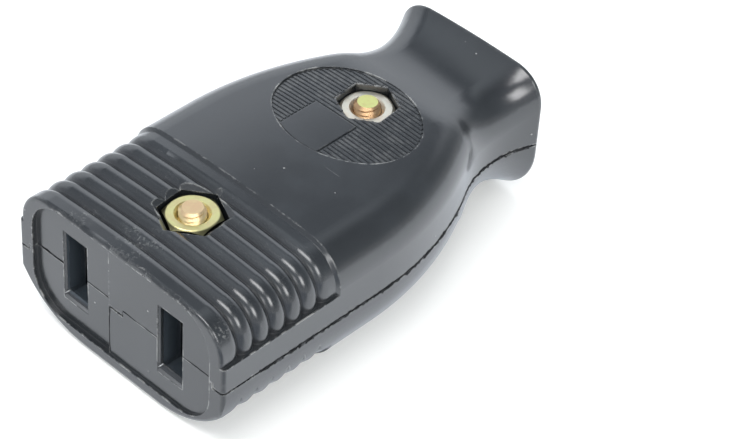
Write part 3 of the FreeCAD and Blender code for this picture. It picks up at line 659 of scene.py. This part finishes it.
# both sides of the upper shell's outline, as edges in millimetres
def sideOutline():
    shape = bmesh.new()
    shape.from_mesh(nodes["upper_shell"].data)
    bmesh.ops.remove_doubles(shape, verts=shape.verts, dist=mergeWithin * mm)
    sliceAt(shape, (0, 0, flash["outlineAt"] * mm), (0, 0, 1), clear_inner=True, clear_outer=True)
    bmesh.ops.scale(shape, vec=(1 / mm, 1 / mm, 1 / mm), verts=shape.verts)
    # outer loop: walked from the widest point on each side
    reached = {pick(shape.verts, key=lambda vert: vert.co.x) for pick in (min, max)}
    fresh = list(reached)
    while fresh:
        fresh = [edge.other_vert(vert) for vert in fresh for edge in vert.link_edges]
        fresh = list(set(fresh) - reached)
        reached.update(fresh)
    low, high = flash["ends"]
    spare = [vert for vert in shape.verts if vert not in reached or not low < vert.co.y < high]
    bmesh.ops.delete(shape, geom=spare, context="VERTS")
    long = [edge for edge in shape.edges if edge.calc_length() > flash["step"]]
    while long:
        bmesh.ops.subdivide_edges(shape, edges=long, cuts=1)
        long = [edge for edge in shape.edges if edge.calc_length() > flash["step"]]
    return shape


def outwards(vert):
    total = Vector((0, 0, 0))
    for edge in vert.link_edges:
        along = edge.verts[1].co - edge.verts[0].co
        across = Vector((along.y, -along.x, 0)).normalized()
        total += across if across.x * vert.co.x > 0 else -across
    return total.normalized()


def ragged(place, grain, seed):
    tear = flash["tear"]
    x = place.x * grain
    y = place.y * grain
    coarse = noise.noise(Vector((x, y, seed)))
    fine = noise.noise(Vector((x * tear["finer"], y * tear["finer"], seed + tear["fineSeed"])))
    return max(0.0, tear["base"] + tear["coarse"] * coarse + tear["fine"] * fine)


# the vertex that an extruded one grew from
def rootOf(vert, ways):
    return next(edge.other_vert(vert) for edge in vert.link_edges if edge.other_vert(vert) in ways)


def makeFlash(name, fin):
    shape = sideOutline()
    ways = {vert: outwards(vert) for vert in shape.verts}
    grown = bmesh.ops.extrude_edge_only(shape, edges=shape.edges[:])
    for tip in vertsOf(grown):
        way = ways[rootOf(tip, ways)]
        amount = ragged(tip.co, fin["grain"], fin["seed"])
        tip.co += way * (fin["reach"] * amount - flash["root"] / 2)
        tip.co.z = fin["tip"] + fin["hang"] * min(1.0, amount)
    for root, way in ways.items():
        root.co.z = fin["level"]
        root.co -= way * flash["root"]
    bmesh.ops.recalc_face_normals(shape, faces=shape.faces)
    bmesh.ops.solidify(shape, geom=shape.faces[:], thickness=flash["thick"])
    toMetres(shape)
    makePiece(name, shape, finishes["trim"])


def makeSideDirt():
    dirt = flash["dirt"]
    shape = sideOutline()
    ways = {vert: outwards(vert) for vert in shape.verts}
    grown = bmesh.ops.extrude_edge_only(shape, edges=shape.edges[:])
    for vert in vertsOf(grown):
        vert.co += ways[rootOf(vert, ways)] * dirt["proud"]
        vert.co.z = dirt["lower"] - dirt["fall"] * ragged(vert.co, dirt["grain"], dirt["lowerSeed"])
    for vert, way in ways.items():
        vert.co += way * dirt["proud"]
        vert.co.z = dirt["upper"] + dirt["rise"] * ragged(vert.co, dirt["grain"], dirt["upperSeed"])
    bmesh.ops.recalc_face_normals(shape, faces=shape.faces)
    bmesh.ops.solidify(shape, geom=shape.faces[:], thickness=dirt["proud"] * 2)
    toMetres(shape)
    makePiece("sideSeamDirt", shape, finishes["grime"])


for name, fin in flash["fins"].items():
    makeFlash(name, fin)
makeSideDirt()


# blade face: the slots, and the two panes that they are in, in millimetres
bladeFace = {
    "level": 8.0,
    "slot": (3.2, 8.0),
    "left": {"middle": -6.35, "pane": -22.30},
    "right": {"middle": 6.35, "pane": -22.55},
}

# dirt in the hairline joints of the blade face, and a painted shade line along the step between the panes,
# in millimetres
seam = {
    "proud": 0.015,
    "step": 0.4,
    "wander": 0.05,
    "wanderGrain": 0.9,
    "wanderSeed": 2.0,
    "frayed": 0.6,
    "frayGrain": 1.7,
    # left end, right end and width of each level line, then the upright line between the panes, which is
    # painted shade at the step
    "runs": [(-11.5, -7.98, 0.20), (-4.72, -1.72, 0.09), (0.22, 4.72, 0.09), (7.98, 11.5, 0.09)],
    "edge": {"x": -1.60, "from": 1.8, "to": 7.3, "width": 0.09},
}


def seamRun(shape, start, end, width):
    count = max(2, int((end - start).length / seam["step"]))
    upright = abs(end.z - start.z) > abs(end.x - start.x)
    aside = Vector((1, 0, 0)) if upright else Vector((0, 0, 1))
    grain = seam["wanderGrain"]
    row = []
    for step in range(count + 1):
        place = start.lerp(end, step / count)
        sway = seam["wander"] * noise.noise(Vector((place.x * grain, place.z * grain, seam["wanderSeed"])))
        row.append(shape.verts.new(place + aside * sway))
    edges = [shape.edges.new(pair) for pair in zip(row, row[1:])]
    grown = bmesh.ops.extrude_edge_only(shape, edges=edges)
    for vert in vertsOf(grown):
        wide = width * (1.0 + seam["frayed"] * noise.noise(vert.co * seam["frayGrain"]))
        vert.co += aside * wide


def makeSeam():
    shape = bmesh.new()
    edge = seam["edge"]
    level = bladeFace["level"]
    leftY = bladeFace["left"]["pane"] - seam["proud"]
    rightY = bladeFace["right"]["pane"] - seam["proud"]
    for left, right, width in seam["runs"]:
        y = leftY if right < edge["x"] else rightY
        seamRun(shape, Vector((left, y, level)), Vector((right, y, level)), width)
    # painted shade: dark strip along the edge of the step between the two panes
    foot = Vector((edge["x"], rightY, edge["from"]))
    head = Vector((edge["x"], rightY, edge["to"]))
    seamRun(shape, foot, head, edge["width"])
    for face in shape.faces:
        face.normal_update()
        if face.normal.y > 0:
            face.normal_flip()
    bmesh.ops.solidify(shape, geom=shape.faces[:], thickness=seam["proud"] * 2)
    toMetres(shape)
    makePiece("faceSeam", shape, finishes["grime"])


makeSeam()


# rounded lip round the mouth of each blade slot and a guide behind it, in millimetres
leadIn = {
    "lip": (0.25, 0.12, 0.75, 0.15),  # left, right, bottom and top
    "guide": (0.20, 0.10, 0.20, 0.10),
    "bare": (0.0, 0.0, 0.0, 0.0),
    "depth": 0.5,
    "end": -19.95,
    "set": 0.004,  # how far the lip starts behind its pane
    "steps": 5,
    "crease": 35.0,
}


# rectangle at y, inside the slot by the four insets
def mouthLoop(shape, middle, y, insets):
    wide, tall = bladeFace["slot"]
    left = middle - wide / 2 + insets[0]
    right = middle + wide / 2 - insets[1]
    low = bladeFace["level"] - tall / 2 + insets[2]
    high = bladeFace["level"] + tall / 2 - insets[3]
    size = Matrix.Diagonal((right - left, 1.0, high - low, 1.0))
    place = Matrix.Translation(((left + right) / 2, y, (low + high) / 2))
    turn = Matrix.Rotation(math.radians(90), 4, "X") @ Matrix.Rotation(math.radians(45), 4, "Z")
    made = bmesh.ops.create_circle(shape, cap_ends=False, segments=4, radius=math.sqrt(0.5),
                                   matrix=place @ size @ turn)
    return list({edge for vert in made["verts"] for edge in vert.link_edges})


def makeLeadIns():
    shape = bmesh.new()
    for side in ("left", "right"):
        front = bladeFace[side]["pane"] + leadIn["set"]
        rings = []
        for step in range(leadIn["steps"] + 1):
            turn = math.radians(90) * step / leadIn["steps"]
            insets = [inset * math.sin(turn) for inset in leadIn["lip"]]
            rings.append((front + leadIn["depth"] * (1 - math.cos(turn)), insets))
        rings.append((front + leadIn["depth"], leadIn["guide"]))
        rings.append((leadIn["end"], leadIn["guide"]))
        rings.append((leadIn["end"], leadIn["bare"]))
        loops = [mouthLoop(shape, bladeFace[side]["middle"], y, insets) for y, insets in rings]
        for first, second in zip(loops, loops[1:] + loops[:1]):
            bmesh.ops.bridge_loops(shape, edges=first + second)
    bmesh.ops.recalc_face_normals(shape, faces=shape.faces)
    toMetres(shape)
    shadeSmooth(shape, leadIn["crease"])
    makePiece("slotLeadIns", shape, finishes["guide"])


makeLeadIns()


# torn sliver in the lower left corner of each lip, coloured pale as a painted highlight, in millimetres
burrs = {
    "curl": 0.6,
    "sweep": 75.0,
    "steps": 8,
    "thick": 0.06,
    "thinnest": 0.2,  # share of the thickness that is left at the ends
    "sides": 6,
    "lean": -45.0,
    "off": (0.30, 0.24, 0.76),  # from the slot's corner at its pane
}


def makeBurrs():
    shape = bmesh.new()
    wide, tall = bladeFace["slot"]
    sweep = math.radians(burrs["sweep"])
    start = Matrix.Rotation(-sweep / 2, 4, "Z") @ Matrix.Translation((burrs["curl"], 0, 0))
    lean = Matrix.Rotation(math.radians(burrs["lean"]), 3, "Y")
    for side in ("left", "right"):
        older = set(shape.verts)
        made = bmesh.ops.create_circle(shape, cap_ends=True, segments=burrs["sides"], radius=burrs["thick"],
                                       matrix=start @ Matrix.Rotation(math.radians(90), 4, "X"))
        ring = made["verts"]
        geom = ring + list({edge for vert in ring for edge in vert.link_edges}) + list(ring[0].link_faces)
        bmesh.ops.spin(shape, geom=geom, cent=(0, 0, 0), axis=(0, 0, 1), angle=sweep, steps=burrs["steps"])
        fresh = [vert for vert in shape.verts if vert not in older]
        # thin at both ends
        for vert in fresh:
            turn = math.atan2(vert.co.y, vert.co.x)
            spine = Vector((math.cos(turn), math.sin(turn), 0)) * burrs["curl"]
            vert.co = spine.lerp(vert.co, max(burrs["thinnest"], math.cos(turn * math.pi / sweep)))
        mouth = bladeFace[side]
        corner = Vector((mouth["middle"] - wide / 2, mouth["pane"], bladeFace["level"] - tall / 2))
        bmesh.ops.translate(shape, vec=(-burrs["curl"], 0, 0), verts=fresh)
        bmesh.ops.rotate(shape, cent=(0, 0, 0), matrix=lean, verts=fresh)
        bmesh.ops.translate(shape, vec=corner + Vector(burrs["off"]), verts=fresh)
    bmesh.ops.recalc_face_normals(shape, faces=shape.faces)
    toMetres(shape)
    for face in shape.faces:
        face.smooth = len(face.verts) == 4
    makePiece("slotBurrs", shape, finishes["burr"])


makeBurrs()


# camera at the photo's angle, frame taken as 730 by 439; place in millimetres, turn in degrees
cameraSetup = {
    "place": (125.59, -132.60, 166.22),
    "turn": (48.62, -3.063, 44.296),
    "lens": 128.25,
    "sensor": 36.0,
    "clip": 0.01,
}


def setCamera():
    lens = bpy.data.cameras.new("camera")
    lens.lens = cameraSetup["lens"]
    lens.sensor_width = cameraSetup["sensor"]
    lens.clip_start = cameraSetup["clip"]
    camera = bpy.data.objects.new("camera", lens)
    camera.location = Vector(cameraSetup["place"]) * mm
    camera.rotation_euler = [math.radians(angle) for angle in cameraSetup["turn"]]
    bpy.context.scene.collection.objects.link(camera)
    bpy.context.scene.camera = camera


setCamera()
print("camera set")

# pale floor and soft light, in metres and watts; the skies are ramps from the horizon to straight up
studio = {
    "floor": (0.90, 0.89, 0.87, 1.0),
    "floorSize": 3.0,
    "floorRough": 0.9,
    "floorGlow": (0.27, 0.275, 0.265, 1.0),
    "noGlow": (0.0, 0.0, 0.0, 1.0),
    # glow the floor shows only in reflections, a painted reflection light, and a darker floor colour seen
    # only in reflections at the front right, a painted shade
    "sideMirrorGlow": (0.43, 0.48, 0.55, 1.0),
    "frontMirrorGlow": (0.08, 0.11, 0.16, 1.0),
    "mirrorGlowTurn": (-0.030, -0.014),
    "paintedShadeFloor": (0.30, 0.31, 0.33, 1.0),
    "paintedShadeTurn": (0.010, 0.026),
    "aim": (0, 0, 0.007),
    "lamps": {
        "softLamp": {"place": (-0.25, 0.15, 0.75), "size": 0.7, "power": 1.6},
        "fillLamp": {"place": (0.35, -0.15, 0.45), "size": 0.3, "power": 0.35},
    },
    "panes": {
        "windowPane0": {"place": (0.04, -0.23, 0.53), "size": (0.42, 0.18), "power": 1.45},
        "windowPane1": {"place": (0.48, -0.13, 0.34), "size": (0.20, 0.24), "power": 0.95},
        "windowPane2": {"place": (0.22, -0.51, 0.21), "size": (0.12, 0.14), "power": 0.28},
    },
    "leftSky": [
        (0.0, (0.90, 0.94, 1.0)),
        (0.30, (1.20, 1.27, 1.36)),
        (0.57, (1.32, 1.40, 1.52)),
        (0.65, (0.36, 0.40, 0.46)),
        (0.71, (0.20, 0.23, 0.27)),
        (0.77, (0.38, 0.42, 0.48)),
        (0.83, (0.80, 0.88, 0.96)),
        (1.0, (0.62, 0.68, 0.76)),
    ],
    "rightSky": [
        (0.0, (0.95, 0.98, 1.03)),
        (0.12, (0.70, 0.74, 0.79)),
        (0.30, (0.36, 0.40, 0.44)),
        (1.0, (0.18, 0.20, 0.23)),
    ],
    "frontSky": [
        (0.0, (0.90, 0.94, 1.0)),
        (0.30, (0.56, 0.60, 0.66)),
        (1.0, (0.40, 0.44, 0.50)),
    ],
    "sideTurn": (-0.25, 0.30),
    "frontTurn": (-0.38, 0.10),
    "white": (1.0, 1.0, 1.0, 1.0),
}


def setFloor():
    sheet = bmesh.new()
    bmesh.ops.create_grid(sheet, x_segments=1, y_segments=1, size=studio["floorSize"])
    mesh = bpy.data.meshes.new("floor")
    sheet.to_mesh(mesh)
    sheet.free()
    floor = bpy.data.objects.new("floor", mesh)
    bpy.context.scene.collection.objects.link(floor)
    material, bench = startFinish("paleFloor")
    seen = bench.node("ShaderNodeLightPath", out="Is Camera Ray")
    mirrored = bench.node("ShaderNodeLightPath", out="Is Glossy Ray")
    glow = bench.blend(seen, studio["noGlow"], studio["floorGlow"])
    across = bench.axis(bench.place(), "X")
    depth = bench.axis(bench.place(), "Y")
    # painted reflection: the floor glows only in what the object mirrors, less in front, and shows a painted
    # darker colour at the front right as shade
    behind = bench.span(depth, *studio["mirrorGlowTurn"])
    mirrorGlow = bench.blend(behind, studio["frontMirrorGlow"], studio["sideMirrorGlow"])
    paintedFloorShade = mirrored * bench.span(across, *studio["paintedShadeTurn"]) * (1.0 - behind)
    endFinish(bench, {
        "Base Color": bench.blend(paintedFloorShade, studio["floor"], studio["paintedShadeFloor"]),
        "Roughness": studio["floorRough"],
        "Specular IOR Level": 0.0,
        "Emission Color": bench.blend(mirrored, glow, mirrorGlow),
        "Emission Strength": 1.0,
    })
    mesh.materials.append(material)


def addLamp(name, place, size, power):
    lamp = bpy.data.lights.new(name, "AREA")
    lamp.energy = power
    if isinstance(size, tuple):
        lamp.shape = "RECTANGLE"
        lamp.size, lamp.size_y = size
    else:
        lamp.shape = "DISK"
        lamp.size = size
    made = bpy.data.objects.new(name, lamp)
    made.location = place
    made.rotation_euler = (Vector(studio["aim"]) - Vector(place)).to_track_quat("-Z", "Y").to_euler()
    bpy.context.scene.collection.objects.link(made)
    return made


def setLamps():
    for name, lamp in studio["lamps"].items():
        addLamp(name, **lamp).visible_glossy = False
    for name, pane in studio["panes"].items():
        addLamp(name, **pane)


def setSky():
    world = bpy.data.worlds.new("studio")
    bpy.context.scene.world = world
    world.use_nodes = True
    bench = Bench(world.node_tree)
    aim = bench.node("ShaderNodeTexCoord", out="Generated")
    across = bench.axis(aim, "X")
    ahead = bench.axis(aim, "Y")
    rise = bench.axis(aim, "Z")
    left = bench.node("ShaderNodeValToRGB", {"stops": studio["leftSky"]}, {0: rise})
    right = bench.node("ShaderNodeValToRGB", {"stops": studio["rightSky"]}, {0: rise})
    front = bench.node("ShaderNodeValToRGB", {"stops": studio["frontSky"]}, {0: rise})
    back = bench.blend(bench.span(across, *studio["sideTurn"]), left, right)
    sky = bench.blend(bench.span(ahead, *studio["frontTurn"]), front, back)
    seen = bench.node("ShaderNodeLightPath", out="Is Camera Ray")
    shown = bench.blend(seen, sky, studio["white"])
    glow = bench.node("ShaderNodeBackground", None, {"Color": shown, "Strength": 1.0})
    bench.node("ShaderNodeOutputWorld", None, {"Surface": glow})


setFloor()
setLamps()
setSky()
bpy.context.scene.view_settings.view_transform = "Standard"
print("floor and light set")
